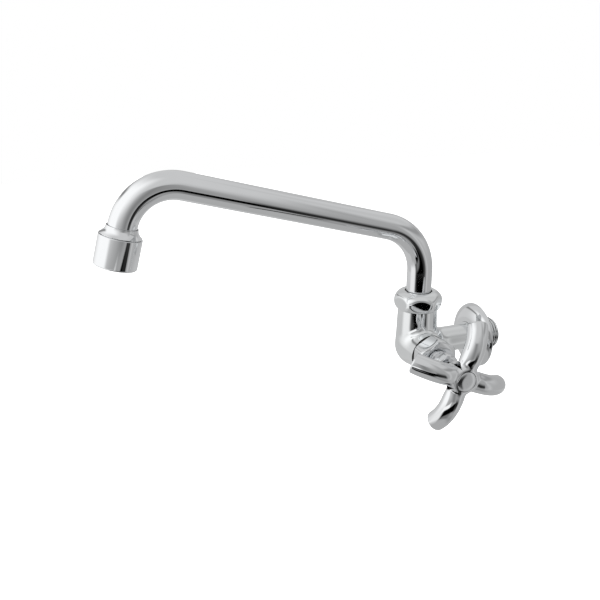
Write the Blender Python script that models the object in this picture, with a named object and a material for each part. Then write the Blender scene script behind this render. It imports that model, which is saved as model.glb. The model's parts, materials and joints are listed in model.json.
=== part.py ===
"""Wall-mounted single tap with a high swinging spout and a four-arm handle.

The origin is the centre of the inlet on the wall plane. +Y points into the wall, +Z up, and the
valve axis points along +X, so the spout reaches towards -Y. Sizes are in millimetres, turned into
metres by MM. "Core" is the point where the riser, shank and valve axes cross; positions are
measured from it.
"""
import math

import bmesh
import bpy
import numpy as np
from mathutils import Matrix, Vector

MM = 0.001
GAP = 0.3  # air between neighbouring pieces
RUNNING_GAP = 0.1  # between the spindle's stem and what it turns in

# Outside of the body casting
CORE_TO_WALL = 45.0
NECK_RADIUS_LOW = 13.05
NECK_RADIUS_TOP = 12.5
NECK_SHOULDER_Z = 25.3
BARREL_RADIUS = 12.7
BARREL_START_X = 3.0
BARREL_END_X = 18.2
SHANK_RADIUS = 8.46
SHANK_START_Y = 3.0
ELBOW_FILLET = 4.0
SHANK_FILLET = 7.0

# Inlet with its G 1/2 thread
THREAD_RADIUS = 10.478
THREAD_PITCH = 1.814
THREAD_DEPTH = 1.1
THREAD_START_Y = 39.4
INLET_END_Y = 58.0
INLET_BORE_RADIUS = 5.4

# Swivel in the neck
NECK_THREAD_RADIUS = 11.6
NECK_RIM_Z = 31.5
NECK_BORE_RADIUS = 9.6
NECK_BORE_FLOOR_Z = 14.0
TAIL_RADIUS = 9.3
TAIL_GROOVE_RADIUS = 7.8
TAIL_FOOT_Z = 15.0
TAIL_COLLAR_RADIUS = 11.2
TAIL_COLLAR_Z = 33.1
TAIL_TOP_Z = 34.5
TUBE_FOOT_Z = 24.3
NUT_BOTTOM_Z = 25.6
NUT_CEILING_Z = 35.7
NUT_TOP_Z = 37.3
NUT_ACROSS_FLATS = 28.0
NUT_HOLE_RADIUS = 8.6
NUT_FACET_TURN = -20.8

# Spout tube
TUBE_RADIUS = 8.0
TUBE_WALL = 1.1
RISER_TOP_Z = 50.0
LOWER_BEND_RADIUS = 32.0
RUN_RISE = 15.0
RUN_LENGTH = 128.8
UPPER_BEND_RADIUS = 27.0
UPPER_BEND_TURN = 90.0
OUTLET_STRAIGHT = 5.2
TUBE_END_SHORT = 1.2  # the tube stops this far above the rim of the aerator shell

# Outlet, with heights measured down the jet from the rim of the aerator shell
COLLAR_TOP = -4.9
COLLAR_RIM_RADIUS = 11.5
COLLAR_THREAD_RADIUS = 10.3
COLLAR_END = 7.0
SHELL_RADIUS = 12.0
SHELL_LENGTH = 17.3
SHELL_MOUTH_RADIUS = 8.8
INSERT_RADIUS = 9.5
INSERT_BORE_RADIUS = 8.5

# Valve seat and headpart, with positions along X
CHAMBER_FLOOR_X = 5.0
CHAMBER_RADIUS = 9.5
THREAD_BORE_START_X = 9.0
SEAT_FACE_X = 6.4
SEAT_RADIUS = 7.3
SEAT_BORE_RADIUS = 5.5
PASSAGE_X = 6.4
PASSAGE_RADIUS = 3.2
BONNET_THREAD_RADIUS = 10.3
BONNET_ACROSS_FLATS = 24.0
BONNET_HEX_START_X = 19.5
BONNET_HEX_END_X = 30.0
BOSS_RADIUS = 6.3
BOSS_END_X = 37.0
STUFFING_RADIUS = 5.1
GLAND_ACROSS_FLATS = 15.0
GLAND_NUT_START_X = 33.6
GLAND_NUT_END_X = 40.2

# Spindle and jumper
SPINDLE_COLLAR_RADIUS = 7.0
SPINDLE_FOOT_X = 10.1
SPINDLE_THREAD_RADIUS = 5.4
STEM_RADIUS = 3.5
SQUARE_WIDTH = 5.0
SQUARE_START_X = 46.0
STEM_END_X = 53.0
PIN_RADIUS = 2.0
SCREW_RADIUS = 1.4

# Handle
HANDLE_PLANE_X = 55.5
HANDLE_TURN = 22.5
ARM_COUNT = 4
ARM_RADIUS = 6.3
ARM_ROOT_HALF_WIDTH = 6.55
ARM_ROOT_HALF_THICKNESS = 5.0
ARM_BEND_START = 15.2
ARM_BEND_RADIUS = 23.6
ARM_BEND_TURN = 44.7
ARM_END_ROUNDING = 1.0
HUB_RADIUS = 8.6
HUB_REAR_X = 45.5
HUB_FACE_X = 60.4
SCREW_SEAT_X = 55.0
INDEX_RADIUS = 5.8
INDEX_GROOVE_RADIUS = 6.5
INDEX_SEAT_X = 58.4
INDEX_RIM_X = 60.8

# Wall flange
FLANGE_RADIUS = 21.5
FLANGE_FRONT_Y = 38.6
FLANGE_SHEET = 1.2

# Facets round a turned piece
FINE = 36
ROUND = 28
COARSE = 20

CHROME = ((0.80, 0.81, 0.83), 0.06, 1.0)
BRASS = ((0.72, 0.53, 0.26), 0.28, 1.0)
STEEL = ((0.62, 0.63, 0.64), 0.25, 1.0)
RUBBER = ((0.03, 0.03, 0.03), 0.7, 0.0)
NYLON = ((0.86, 0.86, 0.83), 0.45, 0.0)
FIBRE = ((0.55, 0.22, 0.14), 0.8, 0.0)

ALONG_Z = Matrix.Identity(4)
ALONG_X = Matrix.Rotation(math.radians(90), 4, "Y")
ALONG_Y = Matrix.Rotation(math.radians(-90), 4, "X")


def clear_scene():
    for obj in list(bpy.data.objects):
        bpy.data.objects.remove(obj, do_unlink=True)


def material(name, finish):
    colour, roughness, metallic = finish
    made = bpy.data.materials.new(name)
    made.use_nodes = True
    shader = made.node_tree.nodes["Principled BSDF"]
    shader.inputs["Base Color"].default_value = (*colour, 1.0)
    shader.inputs["Roughness"].default_value = roughness
    shader.inputs["Metallic"].default_value = metallic
    made.diffuse_color = (*colour, 1.0)
    return made


def axis_empty(name):
    """An empty at the core, where the riser, shank and valve axes cross."""
    made = bpy.data.objects.new(name, None)
    bpy.context.scene.collection.objects.link(made)
    made.location = (0, -CORE_TO_WALL * MM, 0)
    return made


def finish_mesh(name, bm, finish, frame, parent):
    """Makes an object of a bmesh; without a finish it is a cutter and stays out of the model."""
    bmesh.ops.recalc_face_normals(bm, faces=bm.faces)
    mesh = bpy.data.meshes.new(name)
    bm.to_mesh(mesh)
    bm.free()
    mesh.shade_smooth()
    mesh.set_sharp_from_angle(angle=math.radians(35))
    obj = bpy.data.objects.new(name, mesh)
    bpy.context.scene.collection.objects.link(obj)
    obj.parent = parent
    obj.matrix_basis = frame
    if finish:
        mesh.materials.append(material(name, finish))
    else:
        obj.hide_render = True
        obj.display_type = "WIRE"
    return obj


# ---- Shapes -----------------------------------------------------------------------------------


def turned(name, profile, finish, frame, parent, facets=ROUND):
    """A piece turned from (radius, height) points; a profile that starts on the axis ends there."""
    bm = bmesh.new()
    points = [bm.verts.new((radius * MM, 0.0, height * MM)) for radius, height in profile]
    edges = [bm.edges.new(pair) for pair in zip(points, points[1:])]
    if profile[0][0] > 0:
        edges.append(bm.edges.new((points[-1], points[0])))
    bmesh.ops.spin(
        bm, geom=points + edges, cent=(0, 0, 0), axis=(0, 0, 1),
        angle=2 * math.pi, steps=facets, use_duplicate=False,
    )
    bmesh.ops.remove_doubles(bm, verts=bm.verts, dist=1e-7)
    bmesh.ops.dissolve_degenerate(bm, edges=bm.edges, dist=1e-8)
    return finish_mesh(name, bm, finish, frame, parent)


def ring(name, inner, outer, low, high, finish, frame, parent, facets=ROUND):
    corners = [(inner, low), (outer, low), (outer, high), (inner, high)]
    return turned(name, corners, finish, frame, parent, facets)


def rod(name, radius, low, high, finish, frame, parent, facets=ROUND):
    corners = [(0, low), (radius, low), (radius, high), (0, high)]
    return turned(name, corners, finish, frame, parent, facets)


def bar(name, sides, across_flats, low, high, finish, frame, parent, turn=0.0):
    """A bar with flat sides, one of which faces the given turn from its local X."""
    corner = across_flats / 2 / math.cos(math.pi / sides)
    bm = bmesh.new()
    bmesh.ops.create_cone(
        bm, cap_ends=True, segments=sides, radius1=corner * MM, radius2=corner * MM,
        depth=(high - low) * MM,
    )
    first_flat = 90 - 180 / sides
    spin = Matrix.Rotation(math.radians(turn - first_flat), 4, "Z")
    lift = Matrix.Translation((0, 0, (low + high) / 2 * MM))
    bmesh.ops.transform(bm, matrix=lift @ spin, verts=bm.verts)
    return finish_mesh(name, bm, finish, frame, parent)


def o_ring(name, centre_radius, section_radius, height, parent):
    points = 8
    section = []
    for k in range(points):
        angle = 2 * math.pi * k / points
        radius = centre_radius + section_radius * math.cos(angle)
        section.append((radius, height + section_radius * math.sin(angle)))
    return turned(name, section, RUBBER, ALONG_Z, parent, COARSE)


def lofted(rings, near_pole, far_pole):
    """A closed bmesh through rings of points, with a pole closing each end."""
    bm = bmesh.new()
    rows = [[bm.verts.new(point) for point in points] for points in rings]
    count = len(rows[0])
    for row, following in zip(rows, rows[1:]):
        for k in range(count):
            after = (k + 1) % count
            bm.faces.new((row[k], row[after], following[after], following[k]))
    for pole, row in ((near_pole, rows[0]), (far_pole, rows[-1])):
        tip = bm.verts.new(pole)
        for k in range(count):
            bm.faces.new((tip, row[k], row[(k + 1) % count]))
    return bm


def boolean(target, tool, operation):
    step = target.modifiers.new(tool.name, "BOOLEAN")
    step.operation = operation
    step.solver = "EXACT"
    step.object = tool


def cut(target, *tools):
    for tool in tools:
        boolean(target, tool, "DIFFERENCE")


def join(target, *tools):
    for tool in tools:
        boolean(target, tool, "UNION")


def keep_inside(target, tool):
    boolean(target, tool, "INTERSECT")


# ---- Body casting -----------------------------------------------------------------------------


def smooth_union(first, second, size):
    """The nearer of two distances, with a fillet of about the given size between them."""
    mix = np.maximum(size - np.abs(first - second), 0.0) / size
    return np.minimum(first, second) - mix * mix * size / 4


def round_ended(along, aside):
    """Distance from a half line that starts at along = 0."""
    return np.hypot(np.minimum(along, 0.0), aside)


def casting_distance(x, y, z):
    """Below 0 inside the casting: a neck up Z, a barrel along X and a shank along Y."""
    rise = np.clip(z / NECK_SHOULDER_Z, 0.0, 1.0)
    neck_radius = NECK_RADIUS_LOW + (NECK_RADIUS_TOP - NECK_RADIUS_LOW) * rise**2
    neck = round_ended(z, np.hypot(x, y)) - neck_radius
    barrel = round_ended(x - BARREL_START_X, np.hypot(y, z)) - BARREL_RADIUS
    shank = round_ended(y - SHANK_START_Y, np.hypot(x, z)) - (SHANK_RADIUS - RUNNING_GAP)
    elbow = smooth_union(neck, barrel, ELBOW_FILLET)
    return smooth_union(elbow, shank, SHANK_FILLET)


def casting_skin(parent):
    """The casting's outside, found by searching outwards from the core in every direction."""
    around, along = 32, 24
    reach_up, reach_out, reach_back = 34.0, 27.0, 27.0
    search_limit = 60.0
    tilt = math.pi * np.arange(1, along) / along
    turn = 2 * math.pi * np.arange(around) / around
    tilt, turn = np.meshgrid(tilt, turn, indexing="ij")
    dx, dy, dz = np.sin(tilt) * np.cos(turn), np.cos(tilt), np.sin(tilt) * np.sin(turn)
    inside, outside = np.zeros_like(tilt), np.full_like(tilt, search_limit)
    for _ in range(40):
        middle = (inside + outside) / 2
        x, y, z = dx * middle, dy * middle, dz * middle
        skin = np.maximum.reduce(
            [casting_distance(x, y, z), z - reach_up, x - reach_out, y - reach_back]
        )
        outside = np.where(skin > 0, middle, outside)
        inside = np.where(skin > 0, inside, middle)
    rings = np.stack([dx * inside, dy * inside, dz * inside], axis=-1) * MM
    front = rings[-1, :, 1].mean()
    bm = lofted(rings.tolist(), (0, reach_back * MM, 0), (0, front, 0))
    return finish_mesh("tap_body", bm, CHROME, ALONG_Z, parent)


def inlet_profile():
    """The shank and its threaded end, with the thread as ring ridges."""
    root = THREAD_RADIUS - THREAD_DEPTH
    relief = 1.0
    start = 21.0
    points = [(0, start), (SHANK_RADIUS, start)]
    points += [(SHANK_RADIUS, THREAD_START_Y - relief), (root, THREAD_START_Y - relief)]
    ridges = int((INLET_END_Y - THREAD_START_Y) / THREAD_PITCH)
    for k in range(ridges):
        low = THREAD_START_Y + k * THREAD_PITCH
        points.append((root, low))
        points.append((THREAD_RADIUS, low + THREAD_PITCH / 2))
    points.append((root, INLET_END_Y))
    points.append((0, INLET_END_Y))
    return points


def build_body(core):
    body = casting_skin(core)
    cut(
        body,
        rod("neck_face_cutter", 30, NECK_SHOULDER_Z, 50, None, ALONG_Z, core, 12),
        rod("barrel_face_cutter", 30, BARREL_END_X, 50, None, ALONG_X, core, 12),
    )
    join(
        body,
        rod("neck_thread", NECK_THREAD_RADIUS, 16, NECK_RIM_Z, None, ALONG_Z, core),
        turned("inlet_end", inlet_profile(), None, ALONG_Y, core, 24),
    )
    thread_bore = BONNET_THREAD_RADIUS + GAP
    chamber = turned(
        "chamber_cutter",
        [(0, CHAMBER_FLOOR_X), (CHAMBER_RADIUS, CHAMBER_FLOOR_X), (CHAMBER_RADIUS, THREAD_BORE_START_X),
         (thread_bore, THREAD_BORE_START_X), (thread_bore, 40), (0, 40)],
        None, ALONG_X, core,
    )
    neck_bore = rod("neck_bore_cutter", NECK_BORE_RADIUS, NECK_BORE_FLOOR_Z, 60, None, ALONG_Z, core)
    cut(body, chamber, neck_bore)
    join(body, rod("seat_ring", SEAT_RADIUS, CHAMBER_FLOOR_X - 1, SEAT_FACE_X, None, ALONG_X, core))
    over_seat = Matrix.Translation((PASSAGE_X * MM, 0, 0))
    cut(
        body,
        rod("seat_bore_cutter", SEAT_BORE_RADIUS, -6, 8, None, ALONG_X, core, COARSE),
        rod("inlet_cutter", INLET_BORE_RADIUS, -1, 70, None, ALONG_Y, core, COARSE),
        rod("passage_cutter", PASSAGE_RADIUS, SEAT_RADIUS + GAP, 15, None, over_seat, core, COARSE),
    )


# ---- Swivel joint on the neck -----------------------------------------------------------------


def build_swivel(core):
    nut = bar(
        "union_nut", 6, NUT_ACROSS_FLATS, NUT_BOTTOM_Z, NUT_TOP_Z, CHROME, ALONG_Z, core, NUT_FACET_TURN,
    )
    dome = [
        (0, NUT_BOTTOM_Z - 1), (12.0, NUT_BOTTOM_Z - 1), (12.6, NUT_BOTTOM_Z), (14.3, NUT_BOTTOM_Z + 1.8),
        (15.2, 29.4), (15.45, 31.2), (15.1, 33.2), (13.8, 35.1), (11.8, 36.5), (9.8, NUT_TOP_Z),
        (9.2, NUT_TOP_Z + 1), (0, NUT_TOP_Z + 1),
    ]
    keep_inside(nut, turned("nut_dome", dome, None, ALONG_Z, core, FINE))
    bore = NECK_THREAD_RADIUS + GAP
    inside = [
        (0, 20), (bore, 20), (bore, NUT_CEILING_Z), (NUT_HOLE_RADIUS, NUT_CEILING_Z),
        (NUT_HOLE_RADIUS, 50), (0, 50),
    ]
    cut(nut, turned("nut_bore_cutter", inside, None, ALONG_Z, core))
    collar = TAIL_COLLAR_RADIUS
    low, high = NECK_RIM_Z + GAP, TAIL_COLLAR_Z - GAP
    ring("neck_slip_washer", TAIL_RADIUS + GAP, collar, low, high, NYLON, ALONG_Z, core)
    low, high = TAIL_TOP_Z + GAP, NUT_CEILING_Z - GAP
    ring("nut_slip_washer", NUT_HOLE_RADIUS, collar, low, high, NYLON, ALONG_Z, core)


# ---- Spout ------------------------------------------------------------------------------------


def spout_route():
    """Stations of the tube's centre line: (reach, height) and the heading in degrees."""
    route = [((0.0, TUBE_FOOT_Z), 90.0)]
    steps = 10
    for k in range(steps + 1):
        heading = 90.0 - (90.0 - RUN_RISE) * k / steps
        turn = math.radians(90.0 - heading)
        reach = LOWER_BEND_RADIUS * (1 - math.cos(turn))
        height = RISER_TOP_Z + LOWER_BEND_RADIUS * math.sin(turn)
        route.append(((reach, height), heading))
    rise = math.radians(RUN_RISE)
    centre_reach = reach + RUN_LENGTH * math.cos(rise) + UPPER_BEND_RADIUS * math.sin(rise)
    centre_height = height + RUN_LENGTH * math.sin(rise) - UPPER_BEND_RADIUS * math.cos(rise)
    steps = 11
    for k in range(steps + 1):
        heading = RUN_RISE - UPPER_BEND_TURN * k / steps
        turn = math.radians(heading)
        reach = centre_reach - UPPER_BEND_RADIUS * math.sin(turn)
        height = centre_height + UPPER_BEND_RADIUS * math.cos(turn)
        route.append(((reach, height), heading))
    return route


def carried_on(station, distance):
    """A station further along the heading of the given one."""
    (reach, height), heading = station
    turn = math.radians(heading)
    return (reach + distance * math.cos(turn), height + distance * math.sin(turn)), heading


def outlet_frame():
    """Frame at the top rim of the aerator shell, with its Z axis down the jet."""
    (reach, height), heading = carried_on(spout_route()[-1], OUTLET_STRAIGHT)
    tilt = Matrix.Rotation(math.radians(90 - heading), 4, "X")
    return Matrix.Translation(Vector((0, -reach, height)) * MM) @ tilt


def swept(radius, overrun, facets):
    """A round rod along the spout route, longer at both ends by the overrun."""
    route = spout_route()
    tube_end = OUTLET_STRAIGHT - TUBE_END_SHORT
    stations = [carried_on(route[0], -overrun)] + route[1:] + [carried_on(route[-1], tube_end + overrun)]
    rings = []
    for (reach, height), heading in stations:
        turn = math.radians(heading)
        across = Vector((0, math.sin(turn), math.cos(turn)))
        points = []
        for k in range(facets):
            angle = 2 * math.pi * k / facets
            offset = Vector((math.cos(angle), 0, 0)) + across * math.sin(angle)
            points.append((Vector((0, -reach, height)) + offset * radius) * MM)
        rings.append(points)
    ends = [sum(points, Vector()) / facets for points in (rings[0], rings[-1])]
    return lofted(rings, *ends)


def build_spout(pivot):
    tube = finish_mesh("spout_tube", swept(TUBE_RADIUS, 0, 24), CHROME, ALONG_Z, pivot)
    bore = finish_mesh("spout_bore_cutter", swept(TUBE_RADIUS - TUBE_WALL, 4, 16), None, ALONG_Z, pivot)
    cut(tube, bore)
    sleeve = TUBE_RADIUS + GAP
    waterway = TUBE_RADIUS - TUBE_WALL
    seals = (17.6, 21.4)
    profile = [(waterway, TAIL_FOOT_Z), (TAIL_RADIUS, TAIL_FOOT_Z)]
    for height in seals:
        profile += [(TAIL_RADIUS, height - 1), (TAIL_GROOVE_RADIUS, height - 1)]
        profile += [(TAIL_GROOVE_RADIUS, height + 1), (TAIL_RADIUS, height + 1)]
    profile += [
        (TAIL_RADIUS, TAIL_COLLAR_Z), (TAIL_COLLAR_RADIUS, TAIL_COLLAR_Z), (TAIL_COLLAR_RADIUS, TAIL_TOP_Z),
        (sleeve, TAIL_TOP_Z), (sleeve, TUBE_FOOT_Z - GAP), (waterway, TUBE_FOOT_Z - GAP),
    ]
    turned("spout_tail", profile, BRASS, ALONG_Z, pivot)
    for name, height in zip(("tail_o_ring_lower", "tail_o_ring_upper"), seals):
        o_ring(name, 8.67, 0.72, height, pivot)


def pierce(disc, frame, parent, rings, spacing, radius, low, high):
    """Bores a honeycomb of square holes through a disc."""
    bm = bmesh.new()
    for row in range(-rings, rings + 1):
        for column in range(-rings, rings + 1):
            if abs(row + column) > rings:
                continue
            x = spacing * (column + row / 2)
            y = spacing * row * math.sqrt(3) / 2
            bmesh.ops.create_cone(
                bm, cap_ends=True, segments=4, radius1=radius * MM, radius2=radius * MM,
                depth=(high - low) * MM, matrix=Matrix.Translation(Vector((x, y, (low + high) / 2)) * MM),
            )
    cut(disc, finish_mesh(disc.name + "_pins", bm, None, frame, parent))


def build_outlet(pivot):
    """The outlet collar and what screws into it; heights run down the jet."""
    frame = outlet_frame()
    sleeve = TUBE_RADIUS + GAP
    waterway = TUBE_RADIUS - TUBE_WALL
    flare = []
    steps = 5
    flare_start, flare_end = TUBE_RADIUS + 0.7, COLLAR_RIM_RADIUS
    for k in range(steps + 1):
        share = k / steps
        radius = flare_start + (flare_end - flare_start) * share**2.2
        flare.append((radius, COLLAR_TOP * (1 - share) - GAP * share))
    turned(
        "outlet_collar",
        [(sleeve, COLLAR_TOP)] + flare + [
            (COLLAR_RIM_RADIUS, 0), (COLLAR_THREAD_RADIUS, 0), (COLLAR_THREAD_RADIUS, COLLAR_END),
            (waterway, COLLAR_END), (waterway, GAP - TUBE_END_SHORT), (sleeve, GAP - TUBE_END_SHORT),
        ],
        CHROME, frame, pivot,
    )
    thread_bore = COLLAR_THREAD_RADIUS + GAP
    lip = SHELL_LENGTH - 1.5
    turned(
        "aerator_shell",
        [(thread_bore, GAP), (SHELL_RADIUS - 0.3, GAP), (SHELL_RADIUS, 2 * GAP),
         (SHELL_RADIUS, SHELL_LENGTH - 1.2), (SHELL_RADIUS - 0.4, SHELL_LENGTH - 0.35),
         (SHELL_RADIUS - 1.2, SHELL_LENGTH), (SHELL_MOUTH_RADIUS, SHELL_LENGTH), (SHELL_MOUTH_RADIUS, lip),
         (10.2, lip), (10.2, 8.4), (thread_bore, 8.4)],
        CHROME, frame, pivot,
    )
    ring("aerator_washer", 7.6, 10.0, COLLAR_END + GAP, 8.7, RUBBER, frame, pivot, COARSE)
    bore, ledge = INSERT_BORE_RADIUS, 7.7
    turned(
        "aerator_insert",
        [(bore, 9.0), (9.9, 9.0), (9.9, 10.2), (INSERT_RADIUS, 10.6), (INSERT_RADIUS, lip - GAP),
         (ledge, lip - GAP), (ledge, 14.6), (bore, 14.6), (bore, 11.9), (ledge, 11.9), (ledge, 10.9),
         (bore, 10.9)],
        NYLON, frame, pivot, COARSE,
    )
    diffuser = rod("aerator_diffuser", bore - GAP, 9.4, 10.6, NYLON, frame, pivot, COARSE)
    screen = rod("outlet_screen", bore - GAP, 13.6, 14.3, STEEL, frame, pivot, COARSE)
    pierce(diffuser, frame, pivot, rings=1, spacing=4.0, radius=0.8, low=9, high=11)
    pierce(screen, frame, pivot, rings=2, spacing=2.8, radius=1.2, low=13, high=15)


# ---- Valve headpart ---------------------------------------------------------------------------


def build_headpart(core):
    bonnet = bar(
        "bonnet", 6, BONNET_ACROSS_FLATS, BONNET_HEX_START_X, BONNET_HEX_END_X, CHROME, ALONG_X, core, 90,
    )
    dome = [
        (0, 15), (13.0, 15), (13.2, BONNET_HEX_START_X), (13.7, 20.8), (13.7, 25.8), (13.1, 27.8),
        (11.4, 29.3), (9.8, BONNET_HEX_END_X), (9.4, 31), (0, 31),
    ]
    keep_inside(bonnet, turned("bonnet_dome", dome, None, ALONG_X, core, FINE))
    relief = BONNET_THREAD_RADIUS - 0.9
    skirt = [
        (0, 11.0), (relief, 11.0), (BONNET_THREAD_RADIUS, 11.6), (BONNET_THREAD_RADIUS, 17.0), (relief, 17.0),
        (relief, 24.0), (BOSS_RADIUS, 24.0), (BOSS_RADIUS, BOSS_END_X), (0, BOSS_END_X),
    ]
    join(bonnet, turned("bonnet_skirt", skirt, None, ALONG_X, core))
    stem_bore = STEM_RADIUS + RUNNING_GAP
    screw_bore = SPINDLE_THREAD_RADIUS + GAP
    collar_bore = SPINDLE_COLLAR_RADIUS + 0.6
    bore = [
        (0, 5), (collar_bore, 5), (collar_bore, 16.8), (screw_bore, 16.8), (screw_bore, 30.6),
        (stem_bore, 30.6), (stem_bore, 32.2), (STUFFING_RADIUS, 32.2), (STUFFING_RADIUS, 50), (0, 50),
    ]
    cut(bonnet, turned("bonnet_bore_cutter", bore, None, ALONG_X, core))
    low, high = BARREL_END_X + GAP, BONNET_HEX_START_X - GAP
    ring("bonnet_washer", relief + 0.4, 12.0, low, high, FIBRE, ALONG_X, core)
    packing = STUFFING_RADIUS - 0.2
    ring("gland_packing", stem_bore, packing, 32.5, 35.2, RUBBER, ALONG_X, core, COARSE)
    flange = BOSS_RADIUS - 0.2
    turned(
        "gland_ring",
        [(stem_bore, 35.5), (packing, 35.5), (packing, BOSS_END_X + GAP), (flange, BOSS_END_X + GAP),
         (flange, 38.4), (stem_bore, 38.4)],
        BRASS, ALONG_X, core, COARSE,
    )
    gland_nut = bar(
        "gland_nut", 6, GLAND_ACROSS_FLATS, GLAND_NUT_START_X, GLAND_NUT_END_X, CHROME, ALONG_X, core, 90,
    )
    crown = [
        (0, 33), (7.7, 33), (8.2, 34.2), (8.2, 38.6), (7.4, 39.8), (6.4, GLAND_NUT_END_X), (6.0, 41), (0, 41),
    ]
    keep_inside(gland_nut, turned("gland_crown", crown, None, ALONG_X, core))
    thread_bore = BOSS_RADIUS + GAP
    inside = [
        (0, 30), (thread_bore, 30), (thread_bore, 38.7), (STEM_RADIUS + GAP, 38.7),
        (STEM_RADIUS + GAP, 50), (0, 50),
    ]
    cut(gland_nut, turned("gland_bore_cutter", inside, None, ALONG_X, core))


def build_spindle(pivot):
    pin_bore = PIN_RADIUS + GAP
    spindle = turned(
        "spindle",
        [(0, 18.5), (pin_bore, 18.5), (pin_bore, SPINDLE_FOOT_X), (SPINDLE_COLLAR_RADIUS, SPINDLE_FOOT_X),
         (SPINDLE_COLLAR_RADIUS, 12.0), (SPINDLE_THREAD_RADIUS, 12.0), (SPINDLE_THREAD_RADIUS, 25.8),
         (STEM_RADIUS, 25.8), (STEM_RADIUS, SQUARE_START_X), (0, SQUARE_START_X)],
        BRASS, ALONG_X, pivot,
    )
    square_start = SQUARE_START_X - 2
    square = bar("spindle_square", 4, SQUARE_WIDTH, square_start, STEM_END_X, None, ALONG_X, pivot)
    join(spindle, square)
    cut(spindle, rod("screw_hole_cutter", SCREW_RADIUS + GAP, 42, 60, None, ALONG_X, pivot, 16))


def build_jumper(slide):
    """The loose disc that closes on the seat, with its rubber washer and the nut that holds it."""
    washer_low = SEAT_FACE_X + GAP
    washer_high = washer_low + 2.0
    disc_low = washer_high + GAP
    stub = 1.5
    turned(
        "jumper",
        [(0, 4.4), (stub, 4.4), (stub, disc_low), (7.2, disc_low), (7.2, SPINDLE_FOOT_X - GAP),
         (PIN_RADIUS, SPINDLE_FOOT_X - GAP), (PIN_RADIUS, 17.5), (0, 17.5)],
        BRASS, ALONG_X, slide, COARSE,
    )
    ring("tap_washer", stub + GAP, 7.4, washer_low, washer_high, RUBBER, ALONG_X, slide, COARSE)
    nut = bar("washer_nut", 6, 5.5, washer_low - 1.8, washer_low - GAP, BRASS, ALONG_X, slide)
    cut(nut, rod("washer_nut_cutter", stub + GAP, 0, 20, None, ALONG_X, slide, 16))


# ---- Handle -----------------------------------------------------------------------------------


def arm_section(length, end):
    """Half width and half thickness of an arm: near the hub it is a little wider, and flatter."""
    half_width = ARM_RADIUS + (ARM_ROOT_HALF_WIDTH - ARM_RADIUS) * (1 - length / end)
    share = min(max((length - HUB_RADIUS + 2.6) / 8, 0), 1)
    half_thickness = ARM_ROOT_HALF_THICKNESS
    half_thickness += (ARM_RADIUS - ARM_ROOT_HALF_THICKNESS) * share**2 * (3 - 2 * share)
    return half_width, half_thickness


def arm_mesh(turn_degrees):
    """One arm: a round bar carried out from the hub, bent back and cut square with a rounded edge."""
    facets = 20
    turn = math.radians(turn_degrees)
    outwards = Vector((0, math.sin(turn), math.cos(turn)))
    sideways = Vector((0, math.cos(turn), -math.sin(turn)))
    arc = ARM_BEND_RADIUS * math.radians(ARM_BEND_TURN)
    end = ARM_BEND_START + arc
    steps = 5
    stations = [(length, 0.0) for length in (1.0, 7.0, 9.0, 11.0, 13.5)]
    stations += [(ARM_BEND_START + arc * k / steps, 0.0) for k in range(steps)]
    for degrees in (0, 30, 60, 90):
        edge = math.radians(degrees)
        inset = ARM_END_ROUNDING * (1 - math.cos(edge))
        stations.append((end - ARM_END_ROUNDING * (1 - math.sin(edge)), inset))

    def centre_and_front(length):
        bent = max(length - ARM_BEND_START, 0) / ARM_BEND_RADIUS
        reach = min(length, ARM_BEND_START) + ARM_BEND_RADIUS * math.sin(bent)
        back = ARM_BEND_RADIUS * (1 - math.cos(bent))
        front = Vector((math.cos(bent), 0, 0)) + outwards * math.sin(bent)
        return Vector((HANDLE_PLANE_X - back, 0, 0)) + outwards * reach, front

    rings = []
    for length, inset in stations:
        half_width, half_thickness = arm_section(length, end)
        centre, front = centre_and_front(length)
        points = []
        for k in range(facets):
            angle = 2 * math.pi * k / facets
            side = sideways * ((half_width - inset) * math.cos(angle))
            points.append((centre + side + front * ((half_thickness - inset) * math.sin(angle))) * MM)
        rings.append(points)
    return lofted(rings, centre_and_front(stations[0][0])[0] * MM, centre_and_front(end)[0] * MM)


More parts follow.
